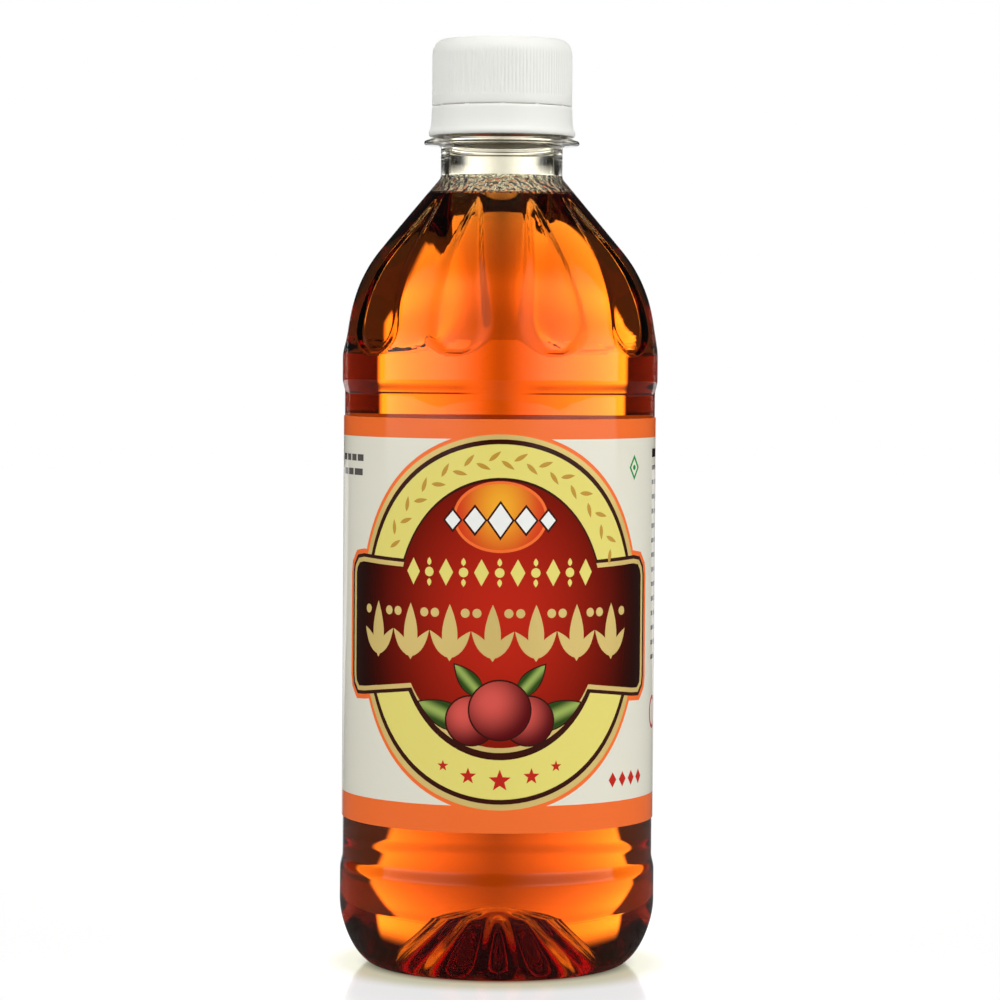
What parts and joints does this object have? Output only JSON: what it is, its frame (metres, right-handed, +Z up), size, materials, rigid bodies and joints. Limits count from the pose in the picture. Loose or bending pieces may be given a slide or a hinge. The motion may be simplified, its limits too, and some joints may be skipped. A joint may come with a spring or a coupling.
{
  "type": "vinegar bottle",
  "caption": "Clear plastic bottle of amber vinegar with fluted round shoulders, a wrap-round printed label and a white ribbed screw cap.",
  "frame": {"origin": "centre of the ring that the bottle stands on, at the surface it stands on", "axes": "+Z up along the bottle's axis; the middle of the label's front faces -Y; +X is to the right as seen from the front"},
  "size_m": [0.0674, 0.0674, 0.1977],
  "materials": {
    "clear_pet": "clear, glossy blown PET",
    "amber_vinegar": "clear amber liquid",
    "white_cap": "moulded white polypropylene, satin",
    "white_band": "moulded white polypropylene, satin",
    "printed_film": "glossy printed film"
  },
  "bodies": {
    "root": {"bottle": "clear_pet", "vinegar": "amber_vinegar", "cap": "white_cap", "tamper_band": "white_band", "label": "printed_film"}
  },
  "joints": []
}
